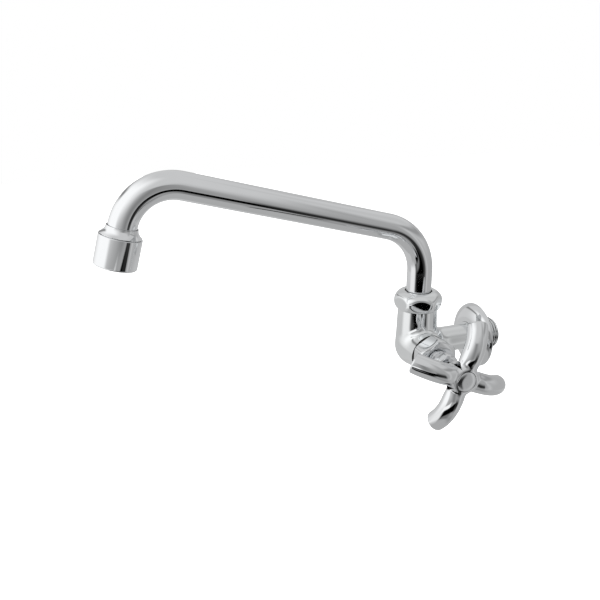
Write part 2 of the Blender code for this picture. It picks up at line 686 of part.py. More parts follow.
def build_handle(pivot):
    hub = [
        (0, HUB_REAR_X), (HUB_RADIUS - 1.8, HUB_REAR_X), (HUB_RADIUS - 1.2, HUB_REAR_X + 0.6),
        (HUB_RADIUS, 51.0), (HUB_RADIUS, HUB_FACE_X - 2.4), (HUB_RADIUS - 0.4, HUB_FACE_X - 0.9),
        (HUB_RADIUS - 1.2, HUB_FACE_X), (0, HUB_FACE_X),
    ]
    handle = turned("cross_handle", hub, CHROME, ALONG_X, pivot)
    for k in range(ARM_COUNT):
        arm = arm_mesh(HANDLE_TURN + 360 / ARM_COUNT * k)
        join(handle, finish_mesh(f"arm_{k}", arm, None, ALONG_Z, pivot))
    stem_bore = STEM_RADIUS + GAP
    screw_bore = SCREW_RADIUS + GAP
    cap_bore = 5.2
    bore = [
        (0, 40), (stem_bore, 40), (stem_bore, SQUARE_START_X + GAP), (screw_bore, SQUARE_START_X + GAP),
        (screw_bore, SCREW_SEAT_X), (cap_bore, SCREW_SEAT_X), (cap_bore, INDEX_SEAT_X),
        (INDEX_GROOVE_RADIUS, INDEX_SEAT_X), (INDEX_GROOVE_RADIUS, 70), (0, 70),
    ]
    square = SQUARE_WIDTH + 2 * GAP
    cut(
        handle,
        turned("handle_bore_cutter", bore, None, ALONG_X, pivot),
        bar("handle_square_cutter", 4, square, SQUARE_START_X - 2, STEM_END_X + GAP, None, ALONG_X, pivot),
    )
    head, slot = SCREW_SEAT_X + GAP, 1.2
    turned(
        "handle_screw",
        [(0, 44.0), (SCREW_RADIUS, 44.0), (SCREW_RADIUS, head), (3.4, head), (3.4, head + 1.6),
         (2.8, head + 2.1), (slot, head + 2.1), (slot, head + 0.9), (0, head + 0.9)],
        STEEL, ALONG_X, pivot, COARSE,
    )
    seat = INDEX_SEAT_X + GAP
    turned(
        "index_cap",
        [(0, seat + 0.3), (4.2, seat + 0.3), (4.2, 56.4), (cap_bore - GAP, 56.4), (cap_bore - GAP, seat),
         (INDEX_RADIUS, seat), (INDEX_RADIUS, INDEX_RIM_X), (5.5, INDEX_RIM_X + 0.25),
         (4.7, INDEX_RIM_X + 0.45), (2.8, INDEX_RIM_X + 0.7), (0, INDEX_RIM_X + 0.8)],
        CHROME, ALONG_X, pivot,
    )


# ---- Wall flange ------------------------------------------------------------------------------


def build_flange(core):
    """A pressed rosette: a domed sheet from the lip of its hole out to its rim on the wall."""
    hole = THREAD_RADIUS + GAP
    depth = CORE_TO_WALL - FLANGE_FRONT_Y
    lip = 0.6
    outside, inside = [], []
    steps = 6
    for k in range(steps + 1):
        angle = math.radians(90 * k / steps)
        span = FLANGE_RADIUS - hole - lip
        outside.append((hole + lip + span * math.sin(angle), CORE_TO_WALL - depth * math.cos(angle)))
        span -= FLANGE_SHEET
        inner_depth = (depth - FLANGE_SHEET) * math.cos(angle)
        inside.append((hole + lip + span * math.sin(angle), CORE_TO_WALL - inner_depth))
    front = [(hole, FLANGE_FRONT_Y + GAP)] + outside
    back = inside[::-1] + [(hole, FLANGE_FRONT_Y + FLANGE_SHEET)]
    turned("wall_flange", front + back, CHROME, ALONG_Y, core, FINE)


def main():
    clear_scene()
    core = axis_empty("core")
    spout_pivot = axis_empty("spout_pivot")
    jumper_slide = axis_empty("jumper_slide")
    handle_pivot = axis_empty("handle_pivot")
    build_body(core)
    build_flange(core)
    build_swivel(core)
    build_spout(spout_pivot)
    build_outlet(spout_pivot)
    build_headpart(core)
    build_jumper(jumper_slide)
    build_spindle(handle_pivot)
    build_handle(handle_pivot)


main()
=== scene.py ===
import json
import math

import bmesh
import bpy
import numpy as np
from mathutils import Matrix, Vector


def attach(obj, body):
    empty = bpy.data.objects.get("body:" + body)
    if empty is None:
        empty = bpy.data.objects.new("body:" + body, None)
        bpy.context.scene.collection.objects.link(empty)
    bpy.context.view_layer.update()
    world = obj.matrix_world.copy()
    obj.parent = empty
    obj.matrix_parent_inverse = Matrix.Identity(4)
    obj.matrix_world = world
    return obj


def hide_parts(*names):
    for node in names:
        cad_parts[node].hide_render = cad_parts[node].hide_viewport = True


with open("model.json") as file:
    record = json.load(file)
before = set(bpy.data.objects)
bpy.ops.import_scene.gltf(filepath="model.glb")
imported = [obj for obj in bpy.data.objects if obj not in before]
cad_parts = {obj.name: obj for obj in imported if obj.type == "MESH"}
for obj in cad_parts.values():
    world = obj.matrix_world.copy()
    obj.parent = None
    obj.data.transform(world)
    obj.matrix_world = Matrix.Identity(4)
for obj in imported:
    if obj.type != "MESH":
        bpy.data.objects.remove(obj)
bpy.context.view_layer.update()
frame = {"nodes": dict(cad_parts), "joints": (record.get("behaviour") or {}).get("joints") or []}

mm = 0.001
joints = {joint["name"]: joint for joint in frame["joints"]}
# The riser, shank and valve axes cross in one point, the core; places below are in mm from it
core = np.array(joints["spout_swivel"]["pos_m"]) / mm

# The columns are a turned piece's own x, y and axis
alongZ = (np.eye(3), np.zeros(3))
alongX = (np.array([[0.0, 0, 1], [0, 1, 0], [-1, 0, 0]]), np.zeros(3))
alongY = (np.array([[1.0, 0, 0], [0, 0, 1], [0, -1, 0]]), np.zeros(3))


# Materials: each finish is a metal or a soft stuff with a cloudy colour, an uneven gloss and a fine grain
def newMaterial(name):
    made = bpy.data.materials.new(name)
    made.use_nodes = True
    tree = made.node_tree
    return made, tree, tree.nodes["Principled BSDF"]


def addNode(tree, kind, **inputs):
    node = tree.nodes.new(kind)
    for key, value in inputs.items():
        node.inputs[key.replace("_", " ")].default_value = value
    return node


# Noise over a piece's own coordinates
def noiseOnObject(tree, scale, detail=3.0):
    place = tree.nodes.new("ShaderNodeTexCoord")
    noise = addNode(tree, "ShaderNodeTexNoise", Scale=scale, Detail=detail)
    tree.links.new(place.outputs["Object"], noise.inputs["Vector"])
    return noise.outputs["Fac"]


# Straight line from (fromLow, low) to (fromHigh, high), and level beyond them
def spread(tree, factor, low, high, fromLow=0.3, fromHigh=0.7):
    ramp = tree.nodes.new("ShaderNodeMapRange")
    ramp.inputs["From Min"].default_value = fromLow
    ramp.inputs["From Max"].default_value = fromHigh
    ramp.inputs["To Min"].default_value = low
    ramp.inputs["To Max"].default_value = high
    tree.links.new(factor, ramp.inputs["Value"])
    return ramp.outputs["Result"]


# A finish goes from colour to tint by a cloudy noise, its gloss is smeared, and a fine grain is its bump
def finishMaterial(name, spec, metallic, smearDetail, grainDetail):
    made, tree, shader = newMaterial(name)
    shader.inputs["Metallic"].default_value = metallic
    mix = tree.nodes.new("ShaderNodeMix")
    mix.data_type = "RGBA"
    mix.inputs["A"].default_value = (*spec["colour"], 1)
    mix.inputs["B"].default_value = (*spec["tint"], 1)
    tree.links.new(noiseOnObject(tree, spec["cloud"]), mix.inputs["Factor"])
    tree.links.new(mix.outputs["Result"], shader.inputs["Base Color"])
    rough = spread(tree, noiseOnObject(tree, spec["smear"], smearDetail), *spec["roughness"])
    tree.links.new(rough, shader.inputs["Roughness"])
    bump = addNode(tree, "ShaderNodeBump", Strength=spec["bump"], Distance=spec["bumpDepth"])
    tree.links.new(noiseOnObject(tree, spec["grain"], grainDetail), bump.inputs["Height"])
    tree.links.new(bump.outputs["Normal"], shader.inputs["Normal"])
    return made


metalFinishes = {
    "chrome": {
        "colour": (0.80, 0.81, 0.82), "tint": (0.76, 0.77, 0.78), "cloud": 40.0,
        "roughness": (0.02, 0.05), "smear": 90.0, "bump": 0.02, "bumpDepth": 0.0002, "grain": 260.0,
    },
    "castChrome": {
        "colour": (0.84, 0.855, 0.86), "tint": (0.78, 0.795, 0.80), "cloud": 55.0,
        "roughness": (0.03, 0.07), "smear": 110.0, "bump": 0.04, "bumpDepth": 0.0003, "grain": 160.0,
    },
    "brass": {
        "colour": (0.72, 0.53, 0.26), "tint": (0.60, 0.43, 0.22), "cloud": 120.0,
        "roughness": (0.22, 0.38), "smear": 300.0, "bump": 0.2, "bumpDepth": 0.0001, "grain": 900.0,
    },
    # A dark metal painted on as shade, for the flange's hollow inside
    "flange_hollow_painted_shade": {
        "colour": (0.20, 0.19, 0.18), "tint": (0.12, 0.115, 0.11), "cloud": 150.0,
        "roughness": (0.4, 0.6), "smear": 300.0, "bump": 0.2, "bumpDepth": 0.0001, "grain": 900.0,
    },
    "steel": {
        "colour": (0.62, 0.63, 0.64), "tint": (0.52, 0.53, 0.55), "cloud": 200.0,
        "roughness": (0.2, 0.34), "smear": 500.0, "bump": 0.2, "bumpDepth": 0.0001, "grain": 1200.0,
    },
}
softFinishes = {
    "rubber": {
        "colour": (0.03, 0.03, 0.03), "tint": (0.05, 0.05, 0.048), "cloud": 300.0,
        "roughness": (0.6, 0.8), "smear": 900.0, "bump": 0.3, "bumpDepth": 0.0001, "grain": 1500.0,
    },
    "nylon": {
        "colour": (0.84, 0.84, 0.80), "tint": (0.76, 0.76, 0.71), "cloud": 200.0,
        "roughness": (0.4, 0.55), "smear": 600.0, "bump": 0.15, "bumpDepth": 0.0001, "grain": 900.0,
    },
    "fibre": {
        "colour": (0.035, 0.03, 0.028), "tint": (0.02, 0.018, 0.017), "cloud": 500.0,
        "roughness": (0.75, 0.9), "smear": 1500.0, "bump": 0.6, "bumpDepth": 0.0001, "grain": 1800.0,
    },
}
materials = {name: finishMaterial(name, spec, 1.0, 5.0, 2.0) for name, spec in metalFinishes.items()}
materials.update({name: finishMaterial(name, spec, 0.0, 3.0, 3.0) for name, spec in softFinishes.items()})
print("materials", len(materials))


sharpAngle = math.radians(40)  # edges sharper than this are creased


# A closed mesh over a grid of points in mm, whose columns wrap round. The rows wrap too where there are no
# poles; otherwise each pole closes its end row with a fan
def gridObject(name, points, poles=None):
    rows, cols, _ = points.shape
    last = rows if poles is None else rows - 1
    a = np.arange(last)[:, None] * cols
    b = np.arange(cols)[None, :]
    below = (a + cols) % (rows * cols)
    right = (b + 1) % cols
    quads = np.stack([a + b, a + right, below + right, below + b], -1).reshape(-1, 4)
    verts = points.reshape(-1, 3)
    fans = np.zeros((0, 3), int)
    if poles is not None:
        verts = np.concatenate([verts, np.array(poles, float)])
        ring = np.arange(cols)
        after = (ring + 1) % cols
        top = np.full(cols, rows * cols)
        end = (rows - 1) * cols
        fans = np.concatenate([
            np.stack([top, after, ring], -1),
            np.stack([top + 1, end + ring, end + after], -1),
        ])
    # Six times the signed volume, which is negative where the faces point inwards
    tris = np.concatenate([quads[:, :3], quads[:, [0, 2, 3]], fans])
    p, q, r = (verts[tris[:, k]] for k in range(3))
    if np.einsum("ij,ij->i", p, np.cross(q, r)).sum() < 0:
        quads, fans = quads[:, ::-1], fans[:, ::-1]
    mesh = bpy.data.meshes.new(name)
    mesh.vertices.add(len(verts))
    mesh.vertices.foreach_set("co", ((verts + core) * mm).astype(np.float32).ravel())
    loops = np.concatenate([quads.ravel(), fans.ravel()])
    mesh.loops.add(len(loops))
    mesh.loops.foreach_set("vertex_index", loops.astype(np.int32))
    sizes = np.concatenate([np.full(len(quads), 4), np.full(len(fans), 3)])
    mesh.polygons.add(len(sizes))
    mesh.polygons.foreach_set("loop_start", (np.cumsum(sizes) - sizes).astype(np.int32))
    mesh.update(calc_edges=True)
    mesh.validate()
    mesh.shade_smooth()
    mesh.set_sharp_from_angle(angle=sharpAngle)
    made = bpy.data.objects.new(name, mesh)
    bpy.context.scene.collection.objects.link(made)
    return made


# Points on a piece's own axes, turned and then moved
def placed(points, way):
    turn, origin = way
    return points @ turn.T + origin


# Each corner (radius, height, rounding) becomes an arc that touches both of its sides
def softened(corners, closed, steps=6):
    at = np.array([corner[:2] for corner in corners], float)
    rounding = [corner[2] if len(corner) > 2 else 0.0 for corner in corners]
    out = []
    count = len(at)
    for k, size in enumerate(rounding):
        if size <= 0 or (not closed and k in (0, count - 1)):
            out.append(at[k][None])
            continue
        back, ahead = at[k - 1] - at[k], at[(k + 1) % count] - at[k]
        back, ahead = back / np.linalg.norm(back), ahead / np.linalg.norm(ahead)
        half = math.acos(np.clip(back @ ahead, -1, 1)) / 2
        middle = (back + ahead) / np.linalg.norm(back + ahead) * size / math.sin(half)
        start = back * size / math.tan(half) - middle
        end = ahead * size / math.tan(half) - middle
        share = np.linspace(0, 1, steps)[:, None]
        sweep = math.pi - 2 * half
        arc = (np.sin((1 - share) * sweep) * start + np.sin(share * sweep) * end) / math.sin(sweep)
        out.append(at[k] + middle + arc)
    return np.concatenate(out)


# Adds a point a little way from both ends of each long stretch, so that flat stretches shade flat
def held(profile, closed, inset=0.12):
    out = []
    count = len(profile)
    for k in range(count if closed else count - 1):
        start, end = profile[k], profile[(k + 1) % count]
        length = np.linalg.norm(end - start)
        out.append(start[None])
        if length > 5 * inset:
            share = np.array([[inset / length], [1 - inset / length]])
            out.append(start + (end - start) * share)
    return np.concatenate(out + ([] if closed else [profile[-1:]]))


# A profile of (radius, height) carried round its own axis
def turnedObject(name, corners, way, facets=128, steps=6):
    closed = corners[0][0] > 0
    profile = held(softened(corners, closed, steps), closed)
    angle = np.linspace(0, 2 * np.pi, facets, endpoint=False)
    poles = None
    if not closed:
        poles = placed(np.array([[0, 0, profile[0, 1]], [0, 0, profile[-1, 1]]]), way)
        profile = profile[1:-1]
    radius, height = profile[:, 0, None], profile[:, 1, None]
    points = np.stack([radius * np.cos(angle), radius * np.sin(angle), height + 0 * angle], -1)
    return gridObject(name, placed(points, way), poles)


# Gives a piece its material and the body it rides on, and hides the CAD nodes it stands for; slot is not
# used
def finishPiece(piece, body, material, slot, *nodes):
    piece.data.materials.append(materials[material])
    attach(piece, body)
    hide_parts(*nodes)
    return piece


spoutSpec = {
    "radius": 7.97, "wall": 1.07, "foot": 24.3, "riserTop": 50.0, "lowerBend": 32.0, "rise": 15.0,
    "run": 128.8, "upperBend": 27.0, "upperTurn": 90.0, "outletStraight": 5.2, "endShort": 1.2,
}


# Stations (reach, height, heading): a straight riser, an arc, a straight run, an arc and a straight end
def spoutRoute(spec):
    rise = math.radians(spec["rise"])
    lower = np.linspace(math.pi / 2, rise, 40)
    bend = spec["lowerBend"]
    first = np.stack([bend * (1 - np.sin(lower)), spec["riserTop"] + bend * np.cos(lower), lower], -1)
    runEnd = first[-1, :2] + spec["run"] * np.array([math.cos(rise), math.sin(rise)])
    bend = spec["upperBend"]
    centre = runEnd + bend * np.array([math.sin(rise), -math.cos(rise)])
    upper = np.linspace(rise, rise - math.radians(spec["upperTurn"]), 48)
    second = np.stack([centre[0] - bend * np.sin(upper), centre[1] + bend * np.cos(upper), upper], -1)
    heading = upper[-1]
    ahead = np.array([math.cos(heading), math.sin(heading)])
    tubeEnd = second[-1, :2] + (spec["outletStraight"] - spec["endShort"]) * ahead
    rim = second[-1, :2] + spec["outletStraight"] * ahead
    along = np.linspace(0, 1, 12)[1:-1, None]
    riser = spec["foot"] + (spec["riserTop"] - spec["foot"]) * (along - along[0])
    foot = np.concatenate([0 * along, riser, math.pi / 2 + 0 * along], 1)
    run = first[-1, :2] + (second[0, :2] - first[-1, :2]) * along
    straight = np.concatenate([run, rise + 0 * along], 1)
    stations = np.concatenate([foot, first, straight, second, [[*tubeEnd, heading]]])
    return stations, rim, heading


route, outletRim, jetHeading = spoutRoute(spoutSpec)


# A circle of the tube's radius carried along the stations, out along the outside, back along the bore
def tubeObject(name, stations, radius, wall, facets=96):
    angle = np.linspace(0, 2 * np.pi, facets, endpoint=False)
    both = np.concatenate([stations, stations[::-1]])
    radii = np.repeat([radius, radius - wall], len(stations))[:, None]
    reach, height, heading = (both[:, k, None] for k in range(3))
    x = radii * np.cos(angle)
    out = radii * np.sin(angle)
    points = np.stack([x, -(reach - out * np.sin(heading)), height + out * np.cos(heading)], -1)
    return gridObject(name, points)


tube = tubeObject("spout_tube_bright", route, spoutSpec["radius"], spoutSpec["wall"])
finishPiece(tube, "spout", "chrome", "chrome", "spout_tube")

jetAxis = np.array([0, -math.cos(jetHeading), math.sin(jetHeading)])
jetSide = np.array([1.0, 0, 0])
jetTurn = np.stack([jetSide, np.cross(jetAxis, jetSide), jetAxis], -1)
jetFrame = (jetTurn, np.array([0, -outletRim[0], outletRim[1]]))

# Radii, and heights that count from the collar's rim towards the mouth
outletSpec = {
    "sleeve": 8.3, "sleeveWall": 0.4, "top": -4.9, "rim": 11.5, "flare": 2.2, "thread": 10.3, "end": 7.0,
    "waterway": 6.9, "shell": 11.88, "shellLength": 17.3, "mouth": 8.8, "lip": 1.5, "step": 10.2,
    "stepHeight": 8.4, "gap": 0.3,
}


# The collar flares from the tube to the shell's rim as radius = start + (rim - start) * share ** flare
def collarProfile(spec):
    start = spec["sleeve"] + spec["sleeveWall"]
    share = np.linspace(0, 1, 14)
    radius = start + (spec["rim"] - start) * share ** spec["flare"]
    flare = np.stack([radius, spec["top"] * (1 - share) - spec["gap"] * share], -1)
    inner = spec["gap"] - spoutSpec["endShort"]
    return [
        (spec["sleeve"], spec["top"], 0.1), *map(tuple, flare), (spec["rim"], 0, 0.1), (spec["thread"], 0),
        (spec["thread"], spec["end"], 0.3), (spec["waterway"], spec["end"], 0.3), (spec["waterway"], inner),
        (spec["sleeve"], inner),
    ]


# The shell is a plain sleeve with a turned-in lip and a step inside, under the thread
def shellProfile(spec):
    bore, length = spec["thread"] + spec["gap"], spec["shellLength"]
    lip = length - spec["lip"]
    return [
        (bore, spec["gap"], 0.1), (spec["shell"], spec["gap"], 0.3), (spec["shell"], length, 0.9),
        (spec["mouth"], length, 0.35), (spec["mouth"], lip, 0.1), (spec["step"], lip),
        (spec["step"], spec["stepHeight"]), (bore, spec["stepHeight"]),
    ]


collar = turnedObject("outlet_collar_bright", collarProfile(outletSpec), jetFrame)
finishPiece(collar, "spout", "chrome", "chrome", "outlet_collar")
shell = turnedObject("aerator_shell_bright", shellProfile(outletSpec), jetFrame)
finishPiece(shell, "spout", "chrome", "chrome", "aerator_shell")
print("spout")


bodySpec = {
    "neckLow": 13.05, "neckTop": 12.5, "shoulder": 25.3, "barrel": 12.7, "barrelStart": 3.0, "shank": 8.46,
    "shankStart": 3.0, "elbowFillet": 6.0, "shankFillet": 10.5, "blendEnd": 24.0, "neckStop": 34,
    "barrelStop": 27, "inletEnd": 58.0, "bore": 5.4, "boreBack": 8.0, "crease": 35,
}
threadSpec = {
    "start": 39.4, "pitch": 1.814, "crest": 10.478, "depth": 1.1, "flank": 1.35, "root": 0.175,
    "runOut": 0.6,
}


# The nearer of two distances, less h cubed times size over 6, where h is how alike they are
def smoothUnion(first, second, size):
    alike = np.maximum(size - np.abs(first - second), 0) / size
    return np.minimum(first, second) - alike**3 * size / 6


# Distance from the half line along >= 0, whose points have no distance aside
def roundEnded(along, aside):
    return np.hypot(np.minimum(along, 0), aside)


# The neck narrows upwards with the square of the height, and the three bars meet in fillets
def castingDistance(x, y, z, spec):
    rise = np.clip(z / spec["shoulder"], 0, 1)
    neckRadius = spec["neckLow"] + (spec["neckTop"] - spec["neckLow"]) * rise**2
    neck = roundEnded(z, np.hypot(x, y)) - neckRadius
    barrel = roundEnded(x - spec["barrelStart"], np.hypot(y, z)) - spec["barrel"]
    shank = roundEnded(y - spec["shankStart"], np.hypot(x, z)) - spec["shank"]
    elbow = smoothUnion(neck, barrel, spec["elbowFillet"])
    return smoothUnion(elbow, shank, spec["shankFillet"])


# Radius of a pipe thread at height y and angle: a ridge with flat crest and root climbs one pitch a turn
def threadRadius(y, angle, spec, end):
    start, pitch = spec["start"], spec["pitch"]
    phase = (y - start) / pitch - angle / (2 * np.pi)
    ridge = np.clip(spec["flank"] * np.abs(2 * (phase - np.floor(phase)) - 1) - spec["root"], 0, 1)
    fade = np.clip((y - start) / pitch, 0, 1) * np.clip((end - y) / (spec["runOut"] * pitch), 0, 1)
    return spec["crest"] - spec["depth"] + spec["depth"] * ridge * fade


# Rings round the shank's axis: on the casting each point is found by halving steps along a ray from the
# core, and past the blend the same rings go on as the shank, the thread, the open end and the bore
def bodyPoints(spec):
    facets, rings = 240, 170
    angle = np.linspace(0, 2 * np.pi, facets, endpoint=False)
    first = math.atan2(spec["shank"], spec["blendEnd"])
    tilt = np.linspace(math.pi, first, rings + 1)[1:, None]
    dx, dy, dz = np.sin(tilt) * np.cos(angle), np.cos(tilt) + 0 * angle, np.sin(tilt) * np.sin(angle)
    near, far = np.zeros_like(dx), np.full_like(dx, 90.0)
    for _ in range(40):
        middle = (near + far) / 2
        inside = castingDistance(dx * middle, dy * middle, dz * middle, spec) < 0
        near, far = np.where(inside, middle, near), np.where(inside, far, middle)
    # The open ends are cut square afterwards, so rays that run up the neck or the barrel stop past them
    stops = [spec["neckStop"] / np.maximum(dz, 1e-6), spec["barrelStop"] / np.maximum(dx, 1e-6)]
    reach = np.minimum.reduce([near, *stops])
    casting = np.stack([dx * reach, dy * reach, dz * reach], -1)
    shank, bore, end = spec["shank"], spec["bore"], spec["inletEnd"]
    runStart, rowGap = 38.4, 0.227
    lead = np.array([[shank, 26], [shank, 30], [shank, 34], [shank, 38.1], [shank - 0.25, 38.35]])
    run = np.arange(runStart, end - 0.01, rowGap)[:, None]
    tail = np.array([
        [9.0, end], [8.7, end], [bore + 0.3, end], [bore, end - 0.3], [bore, 40], [bore, spec["boreBack"]],
    ])
    y = np.concatenate([lead[:, 1:], run, tail[:, 1:]])
    radius = np.concatenate([
        np.repeat(lead[:, :1], facets, 1), threadRadius(run, angle, threadSpec, end),
        np.repeat(tail[:, :1], facets, 1),
    ])
    turned = np.stack([radius * np.cos(angle), y + 0 * angle, radius * np.sin(angle)], -1)
    return np.concatenate([casting, turned]), (0, casting[0, :, 1].mean(), 0), (0, spec["boreBack"], 0)


bodyGrid, bodyFront, bodyBack = bodyPoints(bodySpec)
body = gridObject("tap_body_bright", bodyGrid, (bodyFront, bodyBack))


# By axis, the rings of (radius, height) that go on from each cut end: the neck's thread and bore, and the
# valve chamber with the seat at its floor
endRings = {
    2: [(11.6, 25.3), (11.6, 31.5), (9.6, 31.5), (9.6, 14.0)],
    0: [(10.6, 18.2), (10.6, 9.0), (9.5, 9.0), (9.5, 5.6), (7.3, 5.6), (7.3, 6.4), (5.5, 6.4), (5.5, 0.5)],
}


# Cuts an end square; each ring has the rim's own angles and a radius, and a flat face closes the last one
def openEnd(piece, axis, rings):
    rings = np.array(rings)
    near, weld = 1e-4, 2e-7  # mm from the cut, and metres between points that are joined
    bm = bmesh.new()
    bm.from_mesh(piece.data)
    normal = np.eye(3)[axis]
    bmesh.ops.bisect_plane(
        bm, geom=bm.verts[:] + bm.edges[:] + bm.faces[:], plane_co=(core + normal * rings[0, 1]) * mm,
        plane_no=normal, clear_outer=True)
    bm.to_mesh(piece.data)
    places = np.zeros(3 * len(piece.data.vertices))
    piece.data.vertices.foreach_get("co", places)
    places = places.reshape(-1, 3) / mm - core
    rim = places[np.abs(places[:, axis] - rings[0, 1]) < near]
    first, second = (axis + 1) % 3, (axis + 2) % 3
    angle = np.arctan2(rim[:, second], rim[:, first])
    order = np.argsort(angle)
    points = np.zeros((len(rings), len(rim), 3))
    points[..., first] = rings[:, :1] * np.cos(angle[order])
    points[..., second] = rings[:, :1] * np.sin(angle[order])
    points[..., axis] = rings[:, 1:]
    points = np.concatenate([rim[None, order], points])
    columns = np.arange(len(rim))
    row = np.arange(len(rings))[:, None] * len(rim)
    after = (columns + 1) % len(rim)
    quads = np.stack([row + columns, row + after, row + after + len(rim), row + columns + len(rim)], -1)
    floor = (len(rings) * len(rim) + columns).tolist()
    points = (points.reshape(-1, 3) + core) * mm
    lining = bpy.data.meshes.new("lining")
    lining.from_pydata(points.tolist(), [], quads.reshape(-1, 4).tolist() + [floor])
    bm.from_mesh(lining)
    bmesh.ops.remove_doubles(bm, verts=bm.verts, dist=weld)
    bmesh.ops.recalc_face_normals(bm, faces=bm.faces)
    bm.to_mesh(piece.data)
    bm.free()
    bpy.data.meshes.remove(lining)


for endAxis, endProfile in endRings.items():
    openEnd(body, endAxis, endProfile)
body.data.shade_smooth()
body.data.set_sharp_from_angle(angle=math.radians(bodySpec["crease"]))
finishPiece(body, "base", "castChrome", "chrome", "tap_body")
print("body")


flangeSpec = {
    "hole": 10.78, "rim": 21.5, "front": 38.6, "wall": 45.0, "sheet": 1.2, "lip": 0.6, "neck": 9.4,
    "neckSheet": 0.68,
}


# A quarter ellipse from the lip of the hole to the rim, and the same one sheet thickness further in.
# The lip goes on thinner, to the root of the thread
def flangeProfile(spec):
    angle = np.linspace(0, np.pi / 2, 24)
    start = spec["hole"] + spec["lip"]
    depth = spec["wall"] - spec["front"]
    outside = np.stack([
        start + (spec["rim"] - start) * np.sin(angle),
        spec["wall"] - depth * np.cos(angle),
    ], -1)
    inside = np.stack([
        start + (spec["rim"] - spec["sheet"] - start) * np.sin(angle),
        spec["wall"] - (depth - spec["sheet"]) * np.cos(angle),
    ], -1)
    neck, front = spec["neck"], spec["front"]
    lip = [(neck, front + 0.35), (neck + 0.15, front + 0.05)]
    behind = front + spec["neckSheet"]
    step = [(spec["hole"] + 0.1, front + spec["sheet"]), (spec["hole"] - 0.05, behind), (neck, behind)]
    return lip + list(map(tuple, outside)) + list(map(tuple, inside[::-1])) + step


flange = turnedObject("wall_flange_bright", flangeProfile(flangeSpec), alongY, 160)
finishPiece(flange, "base", "chrome", "chrome", "wall_flange")
# The flange's inside, whose faces turn towards the wall, gets a dark metal as painted shade in its hollow
flange.data.materials.append(materials["flange_hollow_painted_shade"])
normals = np.zeros(3 * len(flange.data.polygons))
flange.data.polygons.foreach_get("normal", normals)
flange.data.polygons.foreach_set("material_index", (normals[1::3] > 0.05).astype(np.int32))
print("flange")


# Radius of a bar with flat sides and softened corners: the inverse of a high-power mean over its flats
def flatSided(angle, sides, acrossFlats, turn, power=70):
    flats = np.radians(turn) + 2 * np.pi * np.arange(sides) / sides
    facing = np.maximum(np.cos(angle[..., None] - flats), 0)
    return acrossFlats / 2 / (facing**power).sum(-1) ** (1 / power)


# The nearer of a bar's flats and a turned outline, softened where they meet
def nutRadius(flat, turned, power=60):
    return (flat**-power + turned**-power) ** (-1 / power)


# From the widest height the outline falls to each end as end + (widest - end) * (1 - share ** a) ** b
def domed(height, spec):
    above = np.clip((height - spec["widestAt"]) / (spec["high"] - spec["widestAt"]), 0, 1)
    below = np.clip((spec["widestAt"] - height) / (spec["widestAt"] - spec["low"]), 0, 1)
    topFall, footFall = spec["widest"] - spec["topRadius"], spec["widest"] - spec["footRadius"]
    top = spec["topRadius"] + topFall * (1 - above ** spec["topCurve"]) ** spec["topRound"]
    foot = spec["footRadius"] + footFall * (1 - below ** spec["footCurve"]) ** spec["footRound"]
    return np.where(height > spec["widestAt"], top, foot)


# Rows up the outside of a nut, across its top and down its bore; bore is a list of (radius, height)
def nutObject(name, spec, way):
    facets, rows = 300, 70
    angle = np.linspace(0, 2 * np.pi, facets, endpoint=False)
    flat = flatSided(angle, 6, spec["acrossFlats"], spec["turn"])
    share = (1 - np.cos(np.linspace(0, np.pi, rows))) / 2
    height = (spec["low"] + (spec["high"] - spec["low"]) * share)[:, None]
    radius = nutRadius(flat, domed(height, spec))
    bore = np.array(spec["bore"])
    radius = np.concatenate([radius, np.repeat(bore[:, :1], facets, 1)])
    height = np.concatenate([height, bore[:, 1:]])
    points = np.stack([radius * np.cos(angle), radius * np.sin(angle), height + 0 * angle], -1)
    return gridObject(name, placed(points, way))


unionSpec = {
    "acrossFlats": 28.0, "turn": -20.8, "low": 25.6, "high": 37.3, "widest": 15.45, "widestAt": 31.2,
    "topRadius": 9.6, "topCurve": 1.85, "topRound": 0.62, "footRadius": 12.6, "footCurve": 2.2,
    "footRound": 0.5,
    "bore": [(8.9, 37.3), (8.6, 37.0), (8.6, 35.7), (11.9, 35.7), (11.9, 25.7), (12.0, 25.6)],
}
bonnetSpec = {
    "acrossFlats": 24.0, "turn": 90.0, "low": 19.5, "high": 30.0, "widest": 13.7, "widestAt": 23.5,
    "topRadius": 9.8, "topCurve": 6.0, "topRound": 0.8, "footRadius": 13.1, "footCurve": 2.2,
    "footRound": 0.5,
    "bore": [
        (6.6, 30.0), (6.3, 30.3), (6.3, 36.7), (6.0, 37.0), (5.1, 37.0), (5.1, 32.2), (3.6, 32.2),
        (3.6, 30.6), (5.7, 30.6), (5.7, 16.8), (7.6, 16.8), (7.6, 11.0), (9.4, 11.0), (10.3, 11.6),
        (10.3, 17.0), (9.4, 17.0), (9.4, 19.5),
    ],
}
glandSpec = {
    "acrossFlats": 15.0, "turn": 90.0, "low": 33.6, "high": 40.2, "widest": 8.2, "widestAt": 36.4,
    "topRadius": 5.9, "topCurve": 4.0, "topRound": 0.7, "footRadius": 7.7, "footCurve": 2.2,
    "footRound": 0.5,
    "bore": [(4.0, 40.2), (3.8, 40.0), (3.8, 38.7), (6.6, 38.7), (6.6, 33.6)],
}
unionNut = nutObject("union_nut_bright", unionSpec, alongZ)
finishPiece(unionNut, "base", "castChrome", "chrome", "union_nut")
bonnet = nutObject("bonnet_bright", bonnetSpec, alongX)
finishPiece(bonnet, "base", "chrome", "chrome", "bonnet")
glandNut = nutObject("gland_nut_bright", glandSpec, alongX)
finishPiece(glandNut, "base", "chrome", "chrome", "gland_nut")
print("nuts")


